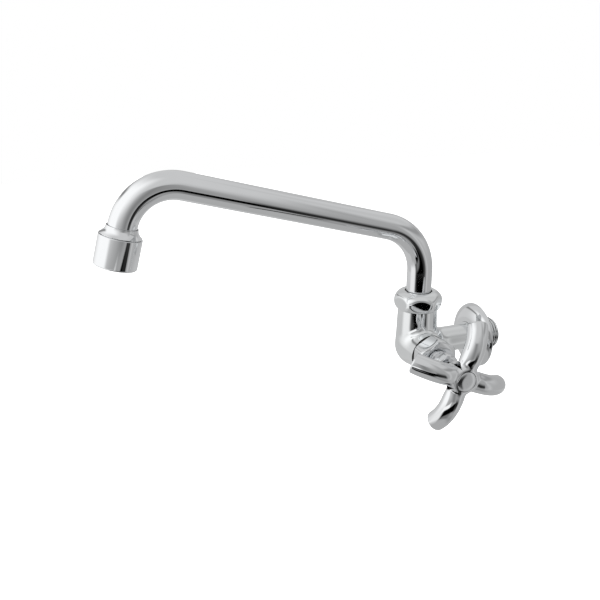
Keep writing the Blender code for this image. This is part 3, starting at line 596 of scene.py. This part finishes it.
# Arms, then the hub, then the seats in it; places along the valve axis count from the core
handleSpec = {
    "planeX": 55.5, "turn": 22.5, "width": 6.23, "rootWidth": 6.5, "rootThickness": 4.96, "straight": 15.2,
    "bend": 23.6, "bendTurn": 44.7, "edge": 1.0, "armBlend": 4.0, "fadeStart": 6.0, "fade": 8.0,
    "hub": 8.55, "hubFace": 60.38, "hubEdge": 1.5, "rear": 45.52, "rearRadius": 7.2, "rearTop": 51.0,
    "rearEdge": 0.5, "hubBlend": 2.6,
    "stem": 3.8, "stemSeat": 46.3, "screw": 1.7, "screwSeat": 55.0, "skirt": 5.2, "groove": 6.33,
    "grooveFloor": 58.4,
}


# Distance to where two surfaces meet with an edge rounded by size
def roundedMeet(first, second, size):
    first, second = first + size, second + size
    outside = np.hypot(np.maximum(first, 0), np.maximum(second, 0))
    return np.minimum(np.maximum(first, second), 0) + outside - size


# One arm: an oval bar, straight at first and then bent back along a circle, cut square with a rounded edge
def armDistance(reach, aside, x, spec):
    past, drop = np.maximum(reach - spec["straight"], 0), x + spec["bend"]
    length = np.minimum(reach, spec["straight"]) + spec["bend"] * np.arctan2(past, drop)
    depth = np.hypot(past, drop) - spec["bend"]
    end = spec["straight"] + spec["bend"] * math.radians(spec["bendTurn"])
    share = np.clip((length - spec["fadeStart"]) / spec["fade"], 0, 1)
    halfWidth = spec["rootWidth"] + (spec["width"] - spec["rootWidth"]) * np.clip(length / end, 0, 1)
    halfDepth = spec["rootThickness"] + (spec["width"] - spec["rootThickness"]) * share**2 * (3 - 2 * share)
    side = (np.hypot(aside / halfWidth, depth / halfDepth) - 1) * (halfWidth + halfDepth) / 2
    return roundedMeet(side, length - end, spec["edge"])


# The four arms and the hub joined smoothly; x, y and z are in mm from the valve axis and the core
def handleDistance(x, y, z, spec):
    turn = math.radians(spec["turn"])
    along = np.abs(y * math.sin(turn) + z * math.cos(turn))
    aside = np.abs(y * math.cos(turn) - z * math.sin(turn))
    far, near = np.maximum(along, aside), np.minimum(along, aside)
    back = x - spec["planeX"]
    nearest, beside = armDistance(far, near, back, spec), armDistance(near, far, back, spec)
    arms = smoothUnion(nearest, beside, spec["armBlend"])
    rise = np.clip((x - spec["rear"]) / (spec["rearTop"] - spec["rear"]), 0, 1)
    side = np.hypot(y, z) - spec["rearRadius"] - (spec["hub"] - spec["rearRadius"]) * rise
    hub = roundedMeet(side, x - spec["hubFace"], spec["hubEdge"])
    hub = roundedMeet(hub, spec["rear"] - x, spec["rearEdge"])
    return smoothUnion(arms, hub, spec["hubBlend"])


# The deepest place inside the handle along X at each plan point
def deepest(y, z, spec, steps=61):
    x = np.linspace(spec["rear"] + 1.5, spec["hubFace"] - 1.5, steps).reshape(-1, *[1] * np.ndim(y))
    depth = handleDistance(x + 0 * y, y, z, spec)
    best = depth.argmin(0)
    return x.ravel()[best], depth.min(0)


# Halves the way from a place inside towards one outside until it is on the surface
def halved(inside, outside, isInside, steps=30):
    for _ in range(steps):
        middle = (inside + outside) / 2
        within = isInside(middle)
        inside, outside = np.where(within, middle, inside), np.where(within, outside, middle)
    return inside


# Columns run from a hub circle out to the handle's outline as seen along its axis, and back behind it
def handlePoints(spec, sideSteps=50, tipSteps=30):
    half, bendTurn = spec["width"], math.radians(spec["bendTurn"])
    root = half + 2.0
    tipCentre = spec["straight"] + spec["bend"] * math.sin(bendTurn)
    tipReach = half * math.sin(bendTurn)
    along = root + (tipCentre - root) * np.linspace(0, 1, sideSteps, endpoint=False) ** 1.1
    side = np.stack([along, half + 0 * along], -1)
    angle = np.linspace(0, np.pi / 2, tipSteps, endpoint=False)
    tip = np.stack([tipCentre + tipReach * np.sin(angle), half * np.cos(angle)], -1)
    quarter = np.concatenate([side, tip])
    arm = np.concatenate([quarter, [[tipCentre + tipReach, 0]], quarter[:0:-1] * [1, -1]])
    gaps = np.linalg.norm(np.diff(np.concatenate([arm, quarter[:1] * [1, -1]]), axis=0), axis=1)
    share = np.concatenate([[0], np.cumsum(gaps)[:-1]]) / gaps.sum()
    hubAngle = np.pi / 4 - share * np.pi / 2
    turns = np.radians(spec["turn"] + 90 * np.arange(4))
    rotation = np.array([[np.sin(turns), np.cos(turns)], [np.cos(turns), -np.sin(turns)]])
    rotation = rotation.transpose(2, 0, 1)
    aim = (arm @ rotation).reshape(-1, 2)
    inner = (np.stack([np.cos(hubAngle), np.sin(hubAngle)], -1) @ rotation).reshape(-1, 2)
    start = 7.0 * inner  # safely inside the hub
    reach = halved(np.zeros((len(aim), 1)), np.full((len(aim), 1), 1.3), lambda part: deepest(
        *(start + (aim - start) * part).T, spec)[1][:, None] < 0)
    outline = start + (aim - start) * reach
    rise = np.sin(np.linspace(0, np.pi / 2, 36))[:, None, None]
    outer = spec["hub"] * inner * (1 - rise) + outline * rise
    frontRings = np.linspace(spec["groove"] + 0.12, spec["hub"], 9)[:-1, None, None] * inner
    backRings = np.linspace(spec["hub"], spec["stem"] + 0.3, 24)[1:, None, None] * inner
    front = np.concatenate([frontRings, outer])
    rear = np.concatenate([outer[-2::-1], backRings])
    sheets = []
    for plan, way in ((front, 12.0), (rear, -24.0)):  # way is further than the surface on that side
        y, z = plan[..., 0], plan[..., 1]
        middle, _ = deepest(y, z, spec)
        x = halved(middle, middle + way, lambda at: handleDistance(at, y, z, spec) < 0)
        sheets.append(np.stack([x, y, z], -1))
    # The bore, and the seats for the stem, the screw and the cap
    profile = np.array([
        (spec["stem"], spec["rear"] + 0.28), (spec["stem"], spec["stemSeat"]),
        (spec["screw"], spec["stemSeat"]), (spec["screw"], spec["screwSeat"]),
        (spec["skirt"], spec["screwSeat"]),
        (spec["skirt"], spec["grooveFloor"]), (spec["groove"], spec["grooveFloor"]),
        (spec["groove"], spec["hubFace"] - 0.1),
    ])
    rings = np.concatenate([
        np.repeat(profile[:, None, 1:], len(inner), 1), profile[:, None, :1] * inner,
    ], -1)
    return np.concatenate([*sheets, rings])


handle = gridObject("cross_handle_bright", handlePoints(handleSpec))
finishPiece(handle, "handle", "chrome", "chrome", "cross_handle")

capSpec = {
    "radius": 6.15, "seat": 58.7, "rim": 60.85, "crown": 61.3, "skirt": 4.9, "skirtEnd": 56.4,
    "hollow": 4.2, "hollowTop": 59.0,
}


# A shallow crown, whose height falls from the middle with the power 5 of the radius, and a hollow skirt
def capProfile(spec):
    share = np.linspace(0.93, 0, 16)[:-1]
    height = spec["crown"] - (spec["crown"] - spec["rim"]) * share**5
    crown = np.stack([spec["radius"] * share, height], -1)
    return [
        (0, spec["hollowTop"]), (spec["hollow"], spec["hollowTop"]), (spec["hollow"], spec["skirtEnd"]),
        (spec["skirt"], spec["skirtEnd"]), (spec["skirt"], spec["seat"]),
        (spec["radius"], spec["seat"], 0.15), (spec["radius"], spec["rim"], 0.25), *map(tuple, crown),
        (0, spec["crown"]),
    ]


cap = turnedObject("index_cap_bright", capProfile(capSpec), alongX)
finishPiece(cap, "handle", "chrome", "chrome", "index_cap")


spindleSpec = {
    "pin": 2.3, "pinEnd": 18.5, "foot": 10.1, "collar": 7.0, "collarEnd": 12.0, "thread": 5.4,
    "threadEnd": 25.8, "stem": 3.5, "squareStart": 46.1, "square": 5.0, "end": 53.0, "screw": 1.7,
    "screwEnd": 42.0,
}


# A turned stem; past squareStart its radius is the smaller of the stem's and the square's
def spindleObject(spec):
    angle = np.linspace(0, 2 * np.pi, 96, endpoint=False)
    stem, start = spec["stem"], spec["squareStart"]
    profile = softened([
        (spec["pin"], spec["foot"], 0.1), (spec["collar"], spec["foot"], 0.4),
        (spec["collar"], spec["collarEnd"], 0.2), (spec["thread"], spec["collarEnd"]),
        (spec["thread"], spec["threadEnd"], 0.4), (stem, spec["threadEnd"]), (stem, start - 0.1),
        (stem, start + 0.1), (stem, spec["end"]), (spec["screw"], spec["end"], 0.1),
        (spec["screw"], spec["screwEnd"]), (spec["pin"], spec["pinEnd"]),
    ], True)
    radius, height = profile[:, :1], profile[:, 1:]
    squared = (height > start) & (radius > stem - 0.1)
    flat = flatSided(angle, 4, spec["square"], 0)
    radius = np.where(squared, np.minimum(radius, flat), radius + 0 * angle)
    points = np.stack([radius * np.cos(angle), radius * np.sin(angle), height + 0 * angle], -1)
    return gridObject("spindle_turned", placed(points, alongX))


spindle = spindleObject(spindleSpec)
finishPiece(spindle, "handle", "steel", "steel", "spindle")
print("handle")


# CAD nodes that keep their shape and get a finish
keptFinish = {
    "neck_slip_washer": "nylon", "nut_slip_washer": "nylon", "bonnet_washer": "fibre",
    "gland_packing": "rubber", "gland_ring": "brass", "spout_tail": "brass", "tail_o_ring_lower": "rubber",
    "tail_o_ring_upper": "rubber", "aerator_washer": "rubber", "aerator_insert": "nylon",
    "aerator_diffuser": "nylon", "outlet_screen": "steel", "jumper": "brass", "tap_washer": "rubber",
    "washer_nut": "brass", "handle_screw": "steel",
}
for nodeName, finish in keptFinish.items():
    node = frame["nodes"][nodeName]
    node.data.materials.clear()
    node.data.materials.append(materials[finish])
print("inner pieces", len(keptFinish))


# In metres; plain is the light from the world, and lamp is in watts
studioSpec = {
    "floorZ": -0.42, "floorSize": 6.0, "plain": 0.75, "lamp": 8.0, "lampSize": 0.9,
    "lampPlace": (-0.3, -0.9, 1.1), "cardDistance": 0.5, "cardBase": 0.70,
}
nearCardSpec = {"azimuth": (-52, -6), "height": (-64, -26), "radius": 130, "level": 0.0, "soft": 0.2}

# Soft-edged patches seen only in the metal, laid over one another in this order. Place, size and the width
# of the soft edges are (azimuth, elevation) in degrees, and rise is how fast a patch's middle line climbs
# with azimuth. Azimuth is from +X towards +Y, elevation is up, and level 1 is white
cardSpecs = [
    {"at": (93, -5.5), "size": (99, 57), "soft": (20, 19), "rise": 0.17, "level": 0.49},
    {"at": (78, 45), "size": (44, 68), "soft": (30, 30), "rise": 0.49, "level": 0.64},
    {"at": (-91, 26), "size": (73, 60), "soft": (48, 26), "rise": 0.14, "level": 1.21},
    {"at": (-146, 24), "size": (56, 9), "soft": (18, 8), "rise": 0.33, "level": 0.26},
    {"at": (72, 25), "size": (66, 14), "soft": (24, 12), "rise": 0, "level": 0.36},
    {"at": (-17, -13), "size": (108, 70), "soft": (12, 42), "rise": 0.17, "level": 0.43},
    {"at": (-18, 12), "size": (26, 32), "soft": (34, 5), "rise": -0.23, "level": 0.26},
    {"at": (0, -67), "size": (720, 62), "soft": (1, 14), "rise": 0, "level": 0.49},
    {"at": (-138, -36), "size": (89, 44), "soft": (18, 5), "rise": 0.06, "level": 0.63},
    {"at": (-92, -16), "size": (46, 22), "soft": (24, 12), "rise": 0, "level": 1.0},
    {"at": (-26, -21), "size": (76, 20), "soft": (16, 2.5), "rise": 0, "level": 0.0},
    {"at": (14.5, -19.6), "size": (23, 27), "soft": (6, 26), "rise": -0.19, "level": 0.02},
    {"at": (-56, -6), "size": (48, 9.5), "soft": (12, 2), "rise": 0, "level": 1.15},
    {"at": (163, 0), "size": (56, 98), "soft": (6, 16), "rise": -0.44, "level": 0.59},
    {"at": (-31, -31), "size": (54, 17), "soft": (34, 8), "rise": -0.31, "level": 0.21},
    {"at": (18, -51), "size": (53, 14), "soft": (43, 16), "rise": -0.25, "level": 0.33},
    {"at": (33, 36), "size": (16, 28), "soft": (31, 24), "rise": 0.73, "level": 0.41},
]


# 1 within a patch and 0 outside it; the smooth step across its edge is 3 s squared less 2 s cubed
def within(offset, size, soft):
    share = np.clip((np.abs(offset) - size / 2) / soft + 0.5, 0, 1)
    return 1 - share**2 * (3 - 2 * share)


# Emission at the level of each vertex, and nothing where the cover is 0
def cardMaterial():
    material = bpy.data.materials.new("reflection_card")
    material.use_nodes = True
    tree = material.node_tree
    tree.nodes.remove(tree.nodes["Principled BSDF"])
    glow = tree.nodes.new("ShaderNodeEmission")
    clear = tree.nodes.new("ShaderNodeBsdfTransparent")
    mix = tree.nodes.new("ShaderNodeMixShader")
    for name, socket in (("level", glow.inputs["Strength"]), ("cover", mix.inputs["Fac"])):
        read = tree.nodes.new("ShaderNodeAttribute")
        read.attribute_name = name
        tree.links.new(read.outputs["Fac"], socket)
    tree.links.new(clear.outputs["BSDF"], mix.inputs[1])
    tree.links.new(glow.outputs["Emission"], mix.inputs[2])
    tree.links.new(mix.outputs["Shader"], tree.nodes["Material Output"].inputs["Surface"])
    return material


# An open sheet over a grid of points, with a level and a cover at each, seen only in reflections
def cardObject(name, points, level, cover, material):
    rows, cols, _ = points.shape
    corner = np.arange(rows - 1)[:, None] * cols + np.arange(cols - 1)
    quads = np.stack([corner, corner + 1, corner + cols + 1, corner + cols], -1).reshape(-1, 4)
    mesh = bpy.data.meshes.new(name)
    mesh.from_pydata(((points.reshape(-1, 3) + core) * mm).tolist(), [], quads.tolist())
    for attribute, values in (("level", level), ("cover", cover)):
        values = (values + np.zeros((rows, cols))).astype(np.float32).ravel()
        mesh.attributes.new(attribute, "FLOAT", "POINT").data.foreach_set("value", values)
    mesh.materials.append(material)
    card = bpy.data.objects.new(name, mesh)
    bpy.context.scene.collection.objects.link(card)
    for seenBy in ("camera", "diffuse", "transmission", "shadow", "volume_scatter"):
        setattr(card, "visible_" + seenBy, False)


# A sphere round the core whose level starts even, and each card moves it by (card - level) * window
def makeCards(spec, material):
    azimuth = np.arange(-180, 181, 1.5)[None, :]
    elevation = np.arange(-90, 91, 1.0)[:, None]
    level = spec["cardBase"] + 0 * azimuth * elevation
    for card in cardSpecs:
        aside = (azimuth - card["at"][0] + 180) % 360 - 180
        above = elevation - card["at"][1] - card["rise"] * aside
        window = within(aside, card["size"][0], card["soft"][0])
        window = window * within(above, card["size"][1], card["soft"][1])
        level = level + (card["level"] - level) * window
    a, e = np.radians(azimuth), np.radians(elevation)
    points = np.stack([np.cos(e) * np.cos(a), np.cos(e) * np.sin(a), np.sin(e) + 0 * a], -1)
    cardObject("reflection_cards", points * spec["cardDistance"] / mm, level, 1.0, material)


# A low strip of an upright cylinder round the core, black, which the lower arm faces
def makeNearCard(spec, material):
    azimuth = np.linspace(*spec["azimuth"], 60)[None, :]
    height = np.linspace(*spec["height"], 24)[:, None]
    a, radius = np.radians(azimuth), spec["radius"] + 0 * height
    points = np.stack([radius * np.cos(a), radius * np.sin(a), height + 0 * a], -1)
    cover, soft = 1.0, spec["soft"]
    for place, ends in ((azimuth, spec["azimuth"]), (height, spec["height"])):
        width = ends[1] - ends[0]
        cover = cover * within(place - sum(ends) / 2, width * (1 - soft), width * soft)
    cardObject("near_card", points, spec["level"], cover, material)


# White to the camera; otherwise a matt pale sheet that takes the shadow
def makeFloor(spec):
    bpy.ops.mesh.primitive_plane_add(size=spec["floorSize"], location=(0, 0, spec["floorZ"]))
    floor = bpy.context.object
    floor.name = "floor"
    made, tree, shader = newMaterial("floor_white")
    shader.inputs["Base Color"].default_value = (0.9, 0.9, 0.9, 1)
    shader.inputs["Roughness"].default_value = 0.9
    shader.inputs["Specular IOR Level"].default_value = 0.0
    shader.inputs["Emission Color"].default_value = (1, 1, 1, 1)
    path = tree.nodes.new("ShaderNodeLightPath")
    tree.links.new(path.outputs["Is Camera Ray"], shader.inputs["Emission Strength"])
    floor.data.materials.append(made)
    floor.visible_glossy = False


# White to the camera, in metal and in glass, and a plain level as light
def makeWorld(spec):
    world = bpy.data.worlds.new("studio")
    bpy.context.scene.world = world
    world.use_nodes = True
    tree = world.node_tree
    background = tree.nodes["Background"]
    background.inputs["Color"].default_value = (1, 1, 1, 1)
    path = tree.nodes.new("ShaderNodeLightPath")
    seen = path.outputs["Is Camera Ray"]
    for other in ("Is Glossy Ray", "Is Transmission Ray"):
        either = tree.nodes.new("ShaderNodeMath")
        either.operation = "MAXIMUM"
        tree.links.new(seen, either.inputs[0])
        tree.links.new(path.outputs[other], either.inputs[1])
        seen = either.outputs["Value"]
    strength = spread(tree, seen, spec["plain"], 1.0, 0, 1)
    tree.links.new(strength, background.inputs["Strength"])


# A round softbox that looks at the origin and isn't seen in the metal
def makeLamp(spec):
    data = bpy.data.lights.new("softbox", "AREA")
    data.shape, data.size, data.energy = "DISK", spec["lampSize"], spec["lamp"]
    lamp = bpy.data.objects.new("softbox", data)
    bpy.context.scene.collection.objects.link(lamp)
    lamp.location = spec["lampPlace"]
    lamp.rotation_euler = Vector(spec["lampPlace"]).to_track_quat("Z", "Y").to_euler()
    lamp.visible_glossy = False


cards = cardMaterial()
makeCards(studioSpec, cards)
makeNearCard(nearCardSpec, cards)
makeFloor(studioSpec)
makeWorld(studioSpec)
makeLamp(studioSpec)

# The place is in mm from the core, and the focal length in pixels of a frame 600 pixels wide
cameraSpec = {"place": (386.96, -228.02, 190.52), "azimuth": 69.18, "elevation": 19.89, "focal": 734.79}


def makeCamera(spec):
    a, e = math.radians(spec["azimuth"]), math.radians(spec["elevation"])
    back = Vector((math.sin(a) * math.cos(e), -math.cos(a) * math.cos(e), math.sin(e)))
    right = Vector((math.cos(a), math.sin(a), 0))
    up = back.cross(right)
    data = bpy.data.cameras.new("camera")
    data.sensor_width = 36.0
    data.lens = spec["focal"] * data.sensor_width / 600
    made = bpy.data.objects.new("camera", data)
    bpy.context.scene.collection.objects.link(made)
    made.matrix_world = Matrix.Translation(Vector((np.array(spec["place"]) + core) * mm)) @ Matrix(
        (right, up, back)).transposed().to_4x4()
    bpy.context.scene.camera = made


makeCamera(cameraSpec)
bpy.context.scene.view_settings.view_transform = "Standard"
print("studio")
